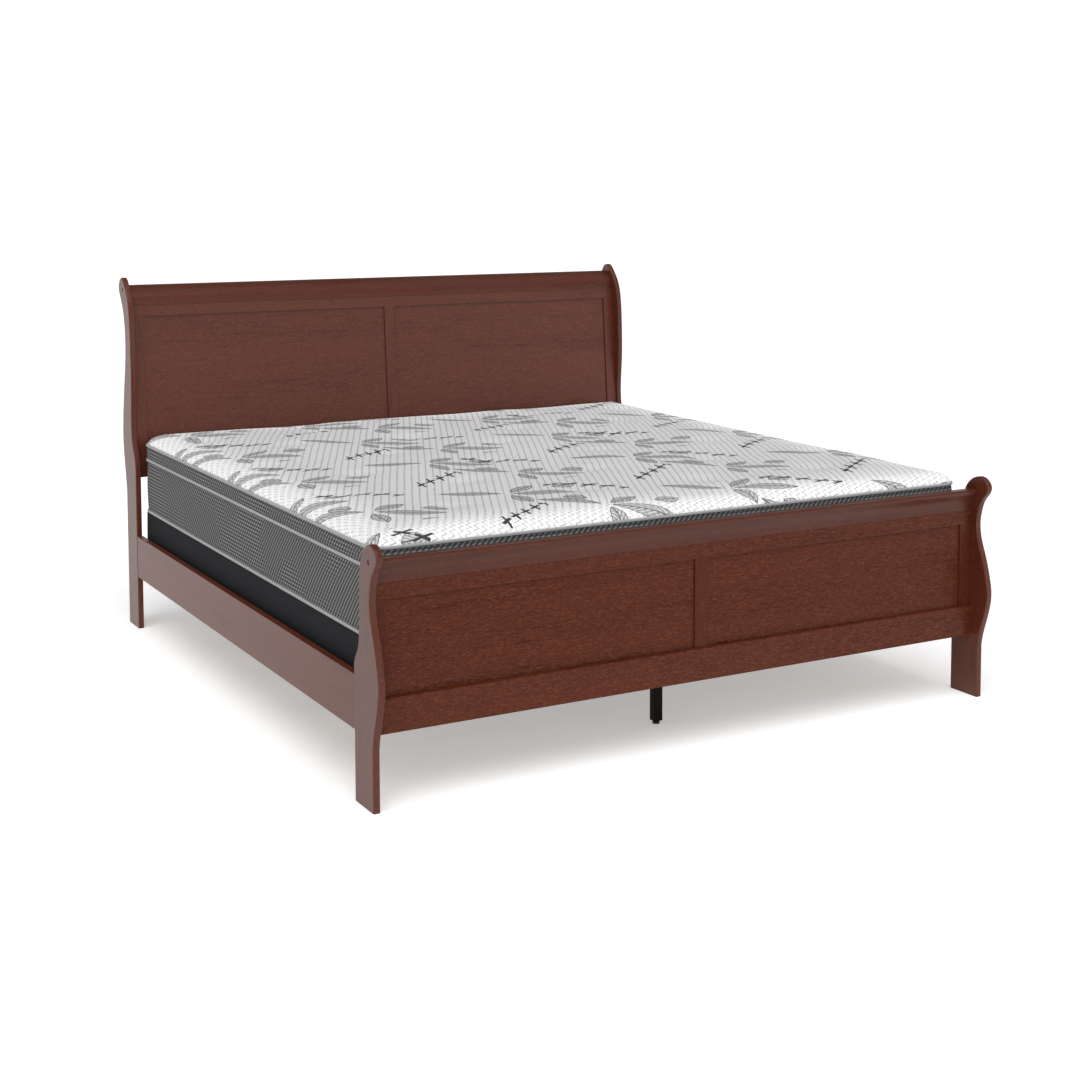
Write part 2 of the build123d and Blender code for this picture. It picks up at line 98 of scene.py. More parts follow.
# Material, pieces, way of the grain, shade of the stain, index of refraction of the lacquer and share of
# flecked figure. The headboard has a thicker, glossier coat than the footboard, and its stain is made lighter
# as painted sheen, standing for the grey haze of light reflected off it.
WOOD = (
    ("lacquered_cherry_rail", at_board("footboard", *RAILS), X, 0.80, 1.22, 0.9),
    # Headboard shade 0.94 on its rails, panels and stiles: the same cherry, lightened as painted sheen.
    ("lacquered_cherry_tall_rail", at_board("headboard", *RAILS), X, 0.94, 1.4, 0.6),
    ("lacquered_cherry_crest", [f"{board}_crest_rail" for board in BOARDS], X, 0.82, 1.36, 0.35),
    ("lacquered_cherry_panel", at_board("footboard", *PANELS), X, 0.78, 1.2, 0.9),
    ("lacquered_cherry_tall_panel", at_board("headboard", *PANELS), X, 0.94, 1.4, 0.6),
    ("lacquered_cherry_stile", at_board("footboard", *STILES), Z, 0.78, 1.2, 0.5),
    ("lacquered_cherry_tall_stile", at_board("headboard", *STILES), Z, 0.94, 1.4, 0.5),
    ("lacquered_cherry_post", POSTS, Z, 0.92, 1.38, 0.5),
    ("lacquered_cherry_side_rail", [f"side_rail_{side}" for side in SIDES], Y, 1.05, 1.3, 0.5),
    ("lacquered_cherry_plug", ["scroll_eye_plugs"], X, 1.5, 1.3, 0.5),
)
PINE_X = ["slats", "foundation_slats"]
PINE_Y = ["slat_ledger_left", "slat_ledger_right", "foundation_frame", "frame_dowels"]
ZINC = ["rail_hook_plates", "post_slot_plates", "plate_screws", "ledger_screws", "slat_screws", "leg_screws"]
FEET = [f"leveling_foot_{i}" for i in range(1, 6)]

# Studio.
FLOOR_HALF = 30.0           # half the side of the floor
CAMERA_X, CAMERA_Y = -2.67, -5.05
CAMERA_LENS = 58.4          # mm, on a sensor 36 mm wide
CAMERA_SHIFT = (-0.04, -0.20)
CAMERA_DOWN = math.radians(4.76)    # how far the camera looks down
CAMERA_TURN = math.radians(-29.93)  # and how far it is turned from straight along the bed


def srgb(code):
    """Linear colour of an sRGB hex code such as 8a4b32."""
    values = [int(code[i : i + 2], 16) / 255 for i in (0, 2, 4)]
    return [v / 12.92 if v <= 0.04045 else ((v + 0.055) / 1.055) ** 2.4 for v in values]


def rgba(color):
    """Opaque colour."""
    return (*color, 1.0)


# ---------------------------------------------------------------- settings a user would change
def hue(name, code, about):
    """Colour property with its default given as an sRGB hex code."""
    return bpy.props.FloatVectorProperty(
        name=name, description=about, subtype="COLOR", size=3, min=0, max=1, default=srgb(code)
    )


def length(name, value, about):
    """Length property in metres."""
    return bpy.props.FloatProperty(name=name, description=about, default=value, min=0, unit="LENGTH")


class WoodSettings(bpy.types.PropertyGroup):
    dark: hue("Dark grain", "3f130c", "Deep lines of the stained grain")
    mid: hue("Body", "532619", "Body colour of the stain")
    light: hue("Light figure", "7b4128", "Flecks of lighter figure")
    pine: hue("Pine", "c9a878", "Bare pine of slats and ledgers")
    roughness: bpy.props.FloatProperty(
        name="Lacquer roughness", description="Satin lacquer of the cherry wood", default=0.3, min=0, max=1
    )


class BeddingSettings(bpy.types.PropertyGroup):
    top: hue("Top knit", "d0d0d0", "White knit of the pillow top")
    rim: hue("Top rim", "efefef", "Whiter knit towards the rim")
    line: hue("Quilt line", "9d9d9d", "Grey thread of the quilt lines")
    leaf: hue("Leaf print", "57585a", "Grey of the printed leaves")
    border: hue("Border", "252526", "Dark grey border fabric")
    border_light: hue("Border thread", "8a8b8b", "Lighter thread of the border twill")
    tape: hue("Binding tape", "a0a1a1", "Woven binding tape")
    cover: hue("Foundation cover", "28292b", "Charcoal cover of the foundation")
    crown: length("Crown", 0.048, "Rise of the pillow top above the top tape")
    bulge: length("Border bulge", 0.004, "How far the border swells between the tapes")
    line_gap: length("Quilt line gap", 0.0215, "Distance between two quilt lines")


class StageSettings(bpy.types.PropertyGroup):
    floor: hue("Floor", "e7e7e7", "Pale studio floor")
    glow: bpy.props.FloatProperty(
        name="Floor glow", description="Light from under the floor, which keeps shadows pale",
        default=0.36, min=0,
    )
    overhead: bpy.props.FloatProperty(
        name="Overhead light", description="Strength of the soft light from above", default=2.0, min=0
    )
    camera_height: length("Camera height", 1.58, "Height of the camera above the floor")


# ---------------------------------------------------------------- nodes and materials
def add(tree, kind, inputs=(), stops=(), **settings):
    """Adds one node, sets its settings, and fills or links its inputs, given in order or by name. stops are the
    (place, linear colour) pairs of a colour ramp."""
    node = tree.nodes.new("ShaderNode" + kind)
    for key, value in settings.items():
        setattr(node, key, value)
    for _ in stops[2:]:
        node.color_ramp.elements.new(0.5)
    for index, (place, color) in enumerate(stops):
        node.color_ramp.elements[index].position = place
        node.color_ramp.elements[index].color = rgba(color)
    pairs = inputs.items() if isinstance(inputs, dict) else enumerate(inputs)
    for key, value in pairs:
        if isinstance(value, bpy.types.NodeSocket):
            tree.links.new(value, node.inputs[key])
        elif value is not None:
            node.inputs[key].default_value = value
    return node


def new_material(name):
    """Empty material with no nodes, ready for a shader and its output."""
    material = bpy.data.materials.new(name)
    material.use_nodes = True
    tree = material.node_tree
    tree.nodes.clear()
    return material, tree


def surface(tree, inputs):
    """Ends a material with its shader and output."""
    shader = add(tree, "BsdfPrincipled", inputs)
    add(tree, "OutputMaterial", {"Surface": shader.outputs[0]})


def cherry(name, axis, shade, ior, figured):
    """Stained and lacquered wood, sanded and sprayed satin: streaks along the grain, short wavy figure
    across it, fine pores. axis is the way the grain runs, shade scales the stain, ior is the lacquer's and
    figured the share of light figure. Noise scales are in waves per metre, along and across the grain."""
    wood = bpy.context.scene.bed_wood
    material, tree = new_material(name)
    place = add(tree, "TexCoord").outputs["Object"]

    def stretched(along, across):
        scale = [across] * 3
        scale[axis] = along
        return add(tree, "Mapping", {"Vector": place, "Scale": scale}).outputs[0]

    broad = add(tree, "TexNoise", {"Vector": stretched(0.7, 14), "Scale": 1, "Detail": 3, "Distortion": 0.6})
    streak = add(tree, "TexNoise", {"Vector": stretched(9, 130), "Scale": 1, "Detail": 6, "Roughness": 0.62,
                                    "Distortion": 0.8})
    figure = add(tree, "TexNoise", {"Vector": stretched(62, 300), "Scale": 1, "Detail": 3, "Roughness": 0.6,
                                    "Distortion": 1.4})
    pores = add(tree, "TexNoise", {"Vector": stretched(60, 1300), "Scale": 1, "Detail": 2})
    narrow = add(tree, "Math", [streak.outputs[0], 0.55], operation="MULTIPLY")
    grain = add(tree, "Math", [broad.outputs[0], 0.45, narrow.outputs[0]], operation="MULTIPLY_ADD")
    dark, mid, light = ([c * shade for c in tone] for tone in (wood.dark, wood.mid, wood.light))
    stain = [(0.31, dark), (0.45, mid), (0.68, [m * 1.2 for m in mid])]
    body = add(tree, "ValToRGB", [grain.outputs[0]], stain).outputs[0]
    fleck = add(tree, "MapRange", [figure.outputs[0], 0.46, 0.68, 0.0, figured])
    tinted = add(tree, "Mix", {0: fleck.outputs[0], 6: body, 7: rgba(light)}, data_type="RGBA")
    pore = add(tree, "MapRange", [pores.outputs[0], 0.3, 0.5, 0.72, 1.0])
    final = add(tree, "Mix", {0: 1.0, 6: tinted.outputs[2], 7: pore.outputs[0]}, data_type="RGBA",
                blend_type="MULTIPLY")
    relief = add(tree, "Math", [figure.outputs[0], pores.outputs[0]], operation="ADD")
    bump = add(tree, "Bump", {"Strength": 0.12, "Distance": 0.0004, "Height": relief.outputs[0]})
    surface(tree, {
        "Base Color": final.outputs[2], "Roughness": wood.roughness, "IOR": ior, "Normal": bump.outputs[0],
    })
    return material


def pine(name, axis):
    """Bare planed softwood: pale, matt, with broad growth lines."""
    material, tree = new_material(name)
    place = add(tree, "TexCoord").outputs["Object"]
    scale = [60.0] * 3
    scale[axis] = 2.0
    lines = add(tree, "TexNoise", {
        "Vector": add(tree, "Mapping", {"Vector": place, "Scale": scale}).outputs[0],
        "Scale": 1, "Detail": 5, "Distortion": 0.5,
    })
    base = bpy.context.scene.bed_wood.pine
    growth = [(0.35, [c * 0.62 for c in base]), (0.6, base)]
    color = add(tree, "ValToRGB", [lines.outputs[0]], growth).outputs[0]
    bump = add(tree, "Bump", {"Strength": 0.2, "Distance": 0.0004, "Height": lines.outputs[0]})
    surface(tree, {
        "Base Color": color, "Roughness": 0.7, "Normal": bump.outputs[0],
    })
    return material


def coated(name, code, rough, metallic=0.0, grain=900.0, depth=0.0002, ior=1.5):
    """Plain part with the fine orange-peel or brushed texture its process leaves: powder coat, zinc plate,
    moulded plastic or pressed board."""
    material, tree = new_material(name)
    place = add(tree, "TexCoord").outputs["Object"]
    peel = add(tree, "TexNoise", {"Vector": place, "Scale": grain, "Detail": 2})
    spread = add(tree, "MapRange", [peel.outputs[0], 0.3, 0.7, max(rough - 0.08, 0.05), rough + 0.08])
    bump = add(tree, "Bump", {"Strength": 0.25, "Distance": depth, "Height": peel.outputs[0]})
    surface(tree, {
        "Base Color": rgba(srgb(code)), "Metallic": metallic, "Roughness": spread.outputs[0],
        "IOR": ior, "Normal": bump.outputs[0],
    })
    return material


def wave_of(tree, socket, period):
    """Sine of a coordinate with the given period in metres."""
    scaled = add(tree, "Math", [socket, 2 * math.pi / period], operation="MULTIPLY")
    return add(tree, "Math", [scaled.outputs[0]], operation="SINE").outputs[0]


TWILL_LINE = 17 * MM        # distance between the slanting lines of the twill, drawn wide so that they show
TWILL_CROSS = 11.5 * MM     # and between the dots that they break up into
TWILL_LEAN = 0.95           # run of a line along the border for each metre of height


def border_twill():
    """Dark woven mattress border: lighter threads cross it in slanting lines that break up into dots."""
    bed = bpy.context.scene.bed_bedding
    material, tree = new_material("woven_border_twill")
    uv = add(tree, "UVMap").outputs[0]
    part = add(tree, "SeparateXYZ", [uv])
    u, v = part.outputs[0], part.outputs[1]
    lean = add(tree, "Math", [v, -TWILL_LEAN, u], operation="MULTIPLY_ADD").outputs[0]
    lines = wave_of(tree, lean, TWILL_LINE)
    cross = wave_of(tree, v, TWILL_CROSS)
    cloud = add(tree, "TexNoise", {"Vector": uv, "Scale": 4.0, "Detail": 1})
    share = add(tree, "MapRange", [cloud.outputs[0], 0.42, 0.58, 0.1, 1.1])
    dots = add(tree, "Math", [cross, share.outputs[0], lines], operation="MULTIPLY_ADD")
    stretched = add(tree, "Mapping", {"Vector": uv, "Scale": (300, 900, 1)}).outputs[0]
    fine = add(tree, "TexNoise", {"Vector": stretched, "Scale": 1, "Detail": 3})
    level = add(tree, "MapRange", [dots.outputs[0], -0.4, 1.5, 0.0, 0.85])
    mixed = add(tree, "Math", [fine.outputs[0], 0.35, level.outputs[0]], operation="MULTIPLY_ADD")
    toned = add(tree, "Mix", {0: mixed.outputs[0], 6: rgba([c * 0.5 for c in bed.border]),
                              7: rgba(bed.border_light)}, data_type="RGBA")
    bump = add(tree, "Bump", {"Strength": 0.45, "Distance": 0.0012, "Height": mixed.outputs[0]})
    surface(tree, {
        "Base Color": toned.outputs[2], "Roughness": 0.85, "IOR": 1.15, "Normal": bump.outputs[0],
    })
    return material


def woven(name, color, thread, rough, contrast):
    """Plain weave, matt, read along and across the piece. thread is the distance between two threads in metres,
    wider than in the real cloth so that the weave shows; contrast is how far its light and dark lie apart."""
    material, tree = new_material(name)
    uv = add(tree, "UVMap").outputs[0]
    part = add(tree, "SeparateXYZ", [uv])
    warp = wave_of(tree, part.outputs[0], thread)
    weft = wave_of(tree, part.outputs[1], thread)
    both = add(tree, "Math", [warp, weft], operation="MULTIPLY")
    grit = add(tree, "TexNoise", {"Vector": uv, "Scale": 500, "Detail": 2})
    mixed = add(tree, "Math", [both.outputs[0], 0.35, grit.outputs[0]], operation="MULTIPLY_ADD")
    shades = [(0.2, [c * (1 - contrast) for c in color]), (0.8, [min(1, c * (1 + contrast)) for c in color])]
    tone = add(tree, "ValToRGB", [mixed.outputs[0]], shades).outputs[0]
    bump = add(tree, "Bump", {"Strength": 0.4, "Distance": 0.0006, "Height": mixed.outputs[0]})
    surface(tree, {
        "Base Color": tone, "Roughness": rough, "IOR": 1.15, "Normal": bump.outputs[0],
    })
    return material


QUILT_TURN = math.radians(24)   # the quilt lines run this far off the length of the bed
TILE_X = 0.62               # repeat of the leaf print across and along the bed
TILE_Y = 0.54
TILE_DROP = 0.37            # each column is set lower than the last by this share of the repeat
# Leaves of a sprig: turn, length, half width and where the blade starts, as a share of its length. The last
# two are round leaves at the end of the sprig.
LEAVES = ((0.12, 0.20, 0.030, 0.06), (3.0, 0.19, 0.024, 0.06), (1.05, 0.12, 0.024, 0.15),
          (-0.95, 0.11, 0.025, 0.2), (0.60, 0.080, 0.032, 1.9), (-0.35, 0.075, 0.030, 2.2))
SPRIGS = ((-0.11, 0.13, -0.50), (0.07, -0.12, -0.62))    # place in the repeat and turn
STALKS = ((0.14, 0.13, -0.50, 0.26), (-0.18, -0.10, 0.73, 0.24))  # place, turn and length
VEIN = 18 * MM              # distance between the veins of a leaf
STALK_JOINT = 55 * MM       # distance between the joints of a stalk
STALK_SWAY = 10 * MM        # how far a stalk swings from side to side
STALK_WAVE = 0.42           # length of one swing
BUD_REACH = 26 * MM         # reach of the buds to either side of the stalk


def turned(tree, px, py, cx, cy, angle):
    """Coordinates along and across an axis through a point: the offset from it, turned by the angle."""
    dx = add(tree, "Math", [px, cx], operation="SUBTRACT").outputs[0]
    dy = add(tree, "Math", [py, cy], operation="SUBTRACT").outputs[0]
    s, c = math.sin(angle), math.cos(angle)
    ay = add(tree, "Math", [dy, s], operation="MULTIPLY").outputs[0]
    by = add(tree, "Math", [dy, c], operation="MULTIPLY").outputs[0]
    a = add(tree, "Math", [dx, c, ay], operation="MULTIPLY_ADD").outputs[0]
    b = add(tree, "Math", [dx, -s, by], operation="MULTIPLY_ADD").outputs[0]
    return a, b


def leaf_print(tree, px, py):
    """Ink of the leaf print: sprigs of pointed leaves, each the space between two parabolas over its length
    with a dark rim, a dark midrib and slanting veins, and jointed stalks, each a row of short bars with a
    small leaf bud at every joint."""
    ink = None
    for cx, cy, turn in SPRIGS:
        for angle, long, half, start in LEAVES:
            a, b = turned(tree, px, py, cx, cy, turn + angle)
            t = add(tree, "Math", [a, 2 / long, -1 - 2 * start], operation="MULTIPLY_ADD").outputs[0]
            square = add(tree, "Math", [t, t], operation="MULTIPLY").outputs[0]
            room = add(tree, "Math", [square, -half, half], operation="MULTIPLY_ADD").outputs[0]
            off = add(tree, "Math", [b], operation="ABSOLUTE").outputs[0]
            inside = add(tree, "Math", [room, off], operation="SUBTRACT").outputs[0]
            mask = add(tree, "MapRange", [inside, 0.0, 0.0012, 0.0, 1.0]).outputs[0]
            rim = add(tree, "MapRange", [inside, 0.0028, 0.0050, 0.9, 0.0]).outputs[0]
            rib = add(tree, "MapRange", [off, 0.0014, 0.0034, 0.9, 0.0]).outputs[0]
            slant = add(tree, "Math", [off, 1.3, a], operation="MULTIPLY_ADD").outputs[0]
            vein = wave_of(tree, slant, VEIN)
            shade = add(tree, "Math", [vein, 0.22, 0.50], operation="MULTIPLY_ADD").outputs[0]
            edge = add(tree, "Math", [rib, rim], operation="MAXIMUM").outputs[0]
            depth = add(tree, "Math", [shade, edge], operation="MAXIMUM").outputs[0]
            one = add(tree, "Math", [mask, depth], operation="MULTIPLY").outputs[0]
            ink = one if ink is None else add(tree, "Math", [ink, one], operation="MAXIMUM").outputs[0]
    for cx, cy, turn, long in STALKS:
        a, b = turned(tree, px, py, cx, cy, turn)
        sway = wave_of(tree, a, STALK_WAVE)
        bent = add(tree, "Math", [sway, STALK_SWAY, b], operation="MULTIPLY_ADD").outputs[0]
        off = add(tree, "Math", [bent], operation="ABSOLUTE").outputs[0]
        end = add(tree, "Math", [a], operation="ABSOLUTE").outputs[0]
        band = add(tree, "MapRange", [off, 0.0048, 0.0066, 1.0, 0.0]).outputs[0]
        gap = add(tree, "Math", [wave_of(tree, a, STALK_JOINT), -0.8], operation="GREATER_THAN").outputs[0]
        bars = add(tree, "Math", [band, gap], operation="MULTIPLY").outputs[0]
        slant = add(tree, "Math", [bent, -0.9, a], operation="MULTIPLY_ADD").outputs[0]
        beat = wave_of(tree, slant, STALK_JOINT)
        joint = add(tree, "Math", [beat, 0.84], operation="GREATER_THAN").outputs[0]
        wide = add(tree, "Math", [off, BUD_REACH], operation="LESS_THAN").outputs[0]
        bud = add(tree, "Math", [joint, wide], operation="MULTIPLY").outputs[0]
        both = add(tree, "Math", [bars, bud], operation="MAXIMUM").outputs[0]
        stop = add(tree, "Math", [end, long / 2], operation="LESS_THAN").outputs[0]
        one = add(tree, "Math", [both, stop], operation="MULTIPLY").outputs[0]
        ink = add(tree, "Math", [ink, one], operation="MAXIMUM").outputs[0]
    return ink


def quilted_knit():
    """Stretch knit quilted over foam: thin grey quilt lines run down the bed, straight and slightly wavy in
    the field and zigzag at the rim, with a grey leaf print and small tufts."""
    bed = bpy.context.scene.bed_bedding
    material, tree = new_material("quilted_white_knit")
    place = add(tree, "UVMap").outputs[0]
    part = add(tree, "SeparateXYZ", [place])
    x, y = part.outputs[0], part.outputs[1]
    rim = add(tree, "Attribute", attribute_name="rim").outputs["Fac"]
    across, down = turned(tree, x, y, 0, 0, -QUILT_TURN)
    chevron = add(tree, "Math", [down, 0.011], operation="PINGPONG").outputs[0]
    sway = add(tree, "MapRange", [rim, 0.25, 0.6, 0.2, 1.3]).outputs[0]
    shifted = add(tree, "Math", [chevron, sway, across], operation="MULTIPLY_ADD").outputs[0]
    gap = bed.line_gap
    saw = add(tree, "Math", [shifted, gap / 2], operation="PINGPONG").outputs[0]
    thread = add(tree, "MapRange", [saw, 0.0010, 0.0030, 1.0, 0.0]).outputs[0]
    broken = add(tree, "TexNoise", {"Vector": place, "Scale": 70, "Detail": 1})
    shown = add(tree, "MapRange", [broken.outputs[0], 0.4, 0.6, 0.5, 1.0]).outputs[0]
    line = add(tree, "Math", [thread, shown], operation="MULTIPLY").outputs[0]
    column = add(tree, "Math", [x, 1 / TILE_X, 20.0], operation="MULTIPLY_ADD").outputs[0]
    number = add(tree, "Math", [column], operation="FLOOR").outputs[0]
    drop = add(tree, "Math", [number, TILE_DROP * TILE_Y, y], operation="MULTIPLY_ADD").outputs[0]
    row = add(tree, "Math", [drop, 1 / TILE_Y, 20.0], operation="MULTIPLY_ADD").outputs[0]
    fx = add(tree, "Math", [column], operation="FRACT").outputs[0]
    fy = add(tree, "Math", [row], operation="FRACT").outputs[0]
    px = add(tree, "Math", [fx, TILE_X, -TILE_X / 2], operation="MULTIPLY_ADD").outputs[0]
    py = add(tree, "Math", [fy, TILE_Y, -TILE_Y / 2], operation="MULTIPLY_ADD").outputs[0]
    ink = leaf_print(tree, px, py)
    near_rim = add(tree, "MapRange", [rim, 0.1, 0.6, 0.0, 1.0]).outputs[0]
    ground = add(tree, "Mix", {0: near_rim, 6: rgba(bed.top), 7: rgba(bed.rim)}, data_type="RGBA").outputs[2]
    lined = add(tree, "Mix", {0: line, 6: ground, 7: rgba(bed.line)}, data_type="RGBA")
    printed = add(tree, "Mix", {0: ink, 6: lined.outputs[2], 7: rgba(bed.leaf)}, data_type="RGBA")
    ink_dark = add(tree, "MapRange", [ink, 0.75, 1.0, 0.0, 0.7]).outputs[0]
    deep = add(tree, "Mix", {0: ink_dark, 6: printed.outputs[2], 7: rgba([c * 0.25 for c in bed.leaf])},
               data_type="RGBA")
    knit = add(tree, "TexNoise", {"Vector": place, "Scale": 600, "Detail": 2})
    puff = add(tree, "Math", [saw, 2 / gap], operation="MULTIPLY").outputs[0]
    puff_root = add(tree, "Math", [puff, 0.5], operation="POWER").outputs[0]
    relief = add(tree, "Math", [knit.outputs[0], 0.12, puff_root], operation="MULTIPLY_ADD").outputs[0]
    bump = add(tree, "Bump", {"Strength": 0.5, "Distance": 0.0016, "Height": relief})
    surface(tree, {
        "Base Color": deep.outputs[2], "Roughness": 0.8, "IOR": 1.3, "Normal": bump.outputs[0],
    })
    return material


# ---------------------------------------------------------------- meshes
def make_object(name, points, faces, uv=None, smooth=True):
    """Mesh object at the origin from an array of points, faces given as lists of their numbers, and the place
    of each point in the pattern."""
    mesh = bpy.data.meshes.new(name)
    mesh.from_pydata(points.tolist(), [], [tuple(f) for f in faces])
    if uv is not None:
        layer = mesh.uv_layers.new(name="UVMap")
        loops = np.empty(len(mesh.loops), int)
        mesh.loops.foreach_get("vertex_index", loops)
        layer.data.foreach_set("uv", uv[loops].astype(np.float32).ravel())
    mesh.polygons.foreach_set("use_smooth", [smooth] * len(mesh.polygons))
    mesh.update()
    obj = bpy.data.objects.new(name, mesh)
    bpy.context.scene.collection.objects.link(obj)
    return obj


def rounded_outline(node, radius):
    """Points round the box of a CAD piece with rounded corners, counterclockwise, with the way out and the
    distance walked at each: four quarter circles joined by straight runs, sampled every OUTLINE_STEP."""
    low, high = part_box(node)
    half_x, half_y = high.x, (high.y - low.y) / 2
    centre_y = (low.y + high.y) / 2
    corners = ((1, 1, 0), (-1, 1, 90), (-1, -1, 180), (1, -1, 270))
    arcs = []
    for sx, sy, start in corners:
        angle = np.radians(start + np.linspace(0, 90, 9))
        cx, cy = sx * (half_x - radius), sy * (half_y - radius)
        arcs.append(np.stack([cx + radius * np.cos(angle), cy + radius * np.sin(angle)], 1))
    knots = np.concatenate([*arcs, arcs[0][:1]])
    points = []
    for a, b in zip(knots[:-1], knots[1:]):
        count = max(1, int(np.linalg.norm(b - a) / OUTLINE_STEP))
        t = np.linspace(0, 1, count, endpoint=False)[:, None]
        points.append(a + (b - a) * t)
    ring = np.concatenate(points)
    walked = np.concatenate([[0], np.cumsum(np.linalg.norm(np.diff(ring, axis=0), axis=1))])
    normal = np.roll(ring, -1, 0) - np.roll(ring, 1, 0)
    normal = np.stack([normal[:, 1], -normal[:, 0]], 1)
    normal /= np.linalg.norm(normal, axis=1)[:, None]
    ring[:, 1] += centre_y
    return ring, normal, walked


def swept_band(name, outline, profile, close_ends):
    """Profile carried round an outline: each outline point moves outwards by the profile's first value and
    stands at its second. Open profiles are closed by a flat fan at top and bottom."""
    ring, normal, walked = outline
    n, m = len(ring), len(profile)  # points round the outline and points of the profile
    out, up = profile[:, 0], profile[:, 1]
    xy = ring[None] + normal[None] * out[:, None, None]
    points = np.concatenate([xy, np.broadcast_to(up[:, None, None], (m, n, 1))], 2).reshape(-1, 3)
    run = np.concatenate([[0], np.cumsum(np.hypot(np.diff(out), np.diff(up)))])
    uv = np.stack([np.broadcast_to(walked, (m, n)), np.broadcast_to(run[:, None], (m, n))], 2).reshape(-1, 2)
    i = np.arange(n)
    j = (i + 1) % n
    rows = m if not close_ends else m - 1
    faces = []
    for k in range(rows):
        low, high = k * n, ((k + 1) % m) * n
        faces += np.stack([low + i, low + j, high + j, high + i], 1).tolist()
    if close_ends:
        middle = np.array([[0, ring[:, 1].mean(), up[0]], [0, ring[:, 1].mean(), up[-1]]])
        points = np.concatenate([points, middle])
        uv = np.concatenate([uv, [[0, 0], [0, 0]]])
        base, top = n * m, n * m + 1
        faces += np.stack([j, i, np.full(n, base)], 1).tolist()
        faces += np.stack([(m - 1) * n + i, (m - 1) * n + j, np.full(n, top)], 1).tolist()
    return make_object(name, points, faces, uv)


def crown_height(inset, crown):
    """Rise of the pillow top at a distance from its rim: a rounded shoulder, then two slower swells, one over
    the width of a hand and one over half the bed."""
    shoulder = np.clip(inset / SHOULDER, 0, 1)
    near = 0.20 * (1 - np.exp(-inset / 0.08))
    far = 0.27 * (1 - np.exp(-inset / 0.5))
    return crown * (0.55 * np.sqrt(1 - (1 - shoulder) ** 2) + near + far)


def dimples(x, y):
    """Soft unevenness of the quilt: hollows where the filling is tied down, in rows TIE_Y apart and offset from
    row to row, and three slow waves of the filling between them."""
    row = np.floor(y / TIE_Y)
    across = np.cos(2 * np.pi * (x / TIE_X + 0.5 * (row % 2)))
    along = np.cos(2 * np.pi * y / TIE_Y)
    tie = -TIE_DEPTH * np.clip(across, 0, 1) ** 2 * np.clip(-along, 0, 1) ** 2
    slow = 0.0030 * np.sin(11.1 * x + 3.2 * y + 0.4) + 0.0026 * np.sin(8.3 * y - 6.9 * x)
    return tie + slow + 0.0016 * np.sin(19.0 * x - 14.0 * y + 1.1)


def finished_copy(name, material):
    """Welded copy of a wooden CAD piece with its sharp edges eased, standing for that piece."""
    source = NODES[name]
    obj = bpy.data.objects.new(name + "_finished", source.data.copy())
    bpy.context.scene.collection.objects.link(obj)
    mesh = obj.data
    work = bmesh.new()
    work.from_mesh(mesh)
    bmesh.ops.remove_doubles(work, verts=work.verts, dist=2e-6)
    bmesh.ops.dissolve_limit(work, angle_limit=math.radians(0.4), verts=work.verts, edges=work.edges)
    work.to_mesh(mesh)
    work.free()
    mesh.polygons.foreach_set("use_smooth", [True] * len(mesh.polygons))
    mesh.materials.clear()
    mesh.materials.append(material)
    ease = obj.modifiers.new("eased_edges", "BEVEL")
    ease.width = EASE
    ease.segments = 2
    ease.limit_method = "ANGLE"
    ease.angle_limit = SHARP
    ease.harden_normals = True
    flat = obj.modifiers.new("flat_faces", "WEIGHTED_NORMAL")
    flat.keep_sharp = True
    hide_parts(name)
    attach(obj, "bed_frame")


def dress(names, material):
    """Gives CAD pieces that stay as they are their material."""
    for name in names:
        mesh = NODES[name].data
        mesh.materials.clear()
        mesh.materials.append(material)


# ---------------------------------------------------------------- operators
class BED_OT_wood(bpy.types.Operator):
    """Finish posts, crests, rails, stiles and panels in stained cherry"""
    bl_idname = "bed.wood"
    bl_label = "Cherry wood"

    def execute(self, context):
        for material_name, pieces, axis, shade, ior, figured in WOOD:
            material = cherry(material_name, axis, shade, ior, figured)
            for name in pieces:
                finished_copy(name, material)
        return {"FINISHED"}


class BED_OT_support(bpy.types.Operator):
    """Finish slats, ledgers, legs, feet and metal fittings"""
    bl_idname = "bed.support"
    bl_label = "Support and fittings"

    def execute(self, context):
        dress(PINE_X, pine("planed_pine_across", X))
        dress(PINE_Y, pine("planed_pine_along", Y))
        dress(ZINC, coated("zinc_plated_steel", "b9bcbf", 0.38, 1.0, 400))
        dress(["center_legs"], coated("powder_coated_black_steel", "060606", 0.5, ior=1.2))
        dress(["leg_inserts"], coated("moulded_black_plastic", "141414", 0.55))
        dress(FEET, coated("zinc_plated_foot", "4a4b4e", 0.4, 1.0, 500))
        dress(["foundation_board"], coated("pressed_fibreboard", "8f7250", 0.9, 0.0, 120, 0.0006))
        dress(["mattress_edge_support"], coated("cut_polyurethane_foam", "e3dbbf", 0.95, 0.0, 350, 0.0008))
        dress(["mattress_border_wires"], coated("drawn_spring_steel", "8b8d90", 0.35, 1.0, 300))
        return {"FINISHED"}


